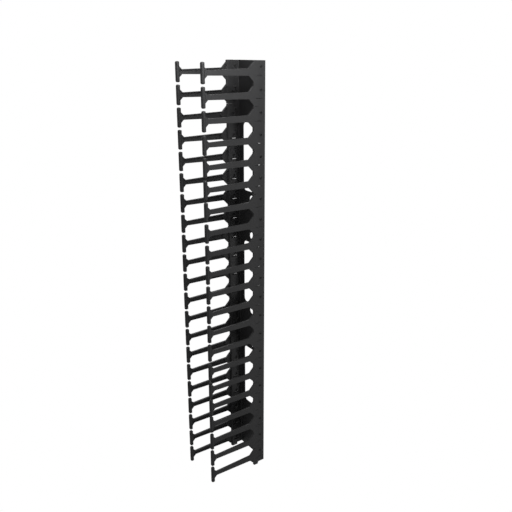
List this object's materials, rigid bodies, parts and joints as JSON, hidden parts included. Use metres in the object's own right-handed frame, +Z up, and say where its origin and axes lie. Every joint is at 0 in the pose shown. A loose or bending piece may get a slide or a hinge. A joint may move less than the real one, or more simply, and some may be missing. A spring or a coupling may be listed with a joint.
{
  "type": "vertical cable manager",
  "caption": "Open vertical finger-duct cable manager: a folded steel channel with pass-through openings and T-ended plastic fingers down both sides.",
  "frame": {"origin": "on the rear face of the steel channel, half way across it and half way between the middle pair of end holes", "axes": "+Y is out of the back towards the rack, -Y is the open front, +Z is up, +X is the right-hand row of fingers seen from the front"},
  "size_m": [0.1044, 0.1504, 0.9349],
  "materials": {
    "black_steel": "fine black powder coat",
    "black_plastic": "moulded, lightly grained satin",
    "black_rivet": "blackened"
  },
  "bodies": {
    "root": {"back_channel": "black_steel", "right_comb_01": "black_plastic", "right_comb_02": "black_plastic", "right_comb_03": "black_plastic", "right_comb_04": "black_plastic", "right_comb_05": "black_plastic", "right_comb_06": "black_plastic", "right_comb_07": "black_plastic", "right_comb_08": "black_plastic", "right_comb_09": "black_plastic", "right_comb_10": "black_plastic", "right_comb_11": "black_plastic", "left_comb_01": "black_plastic", "left_comb_02": "black_plastic", "left_comb_03": "black_plastic", "left_comb_04": "black_plastic", "left_comb_05": "black_plastic", "left_comb_06": "black_plastic", "left_comb_07": "black_plastic", "left_comb_08": "black_plastic", "left_comb_09": "black_plastic", "left_comb_10": "black_plastic", "left_comb_11": "black_plastic", "right_rivets": "black_rivet", "left_rivets": "black_rivet"}
  },
  "joints": []
}
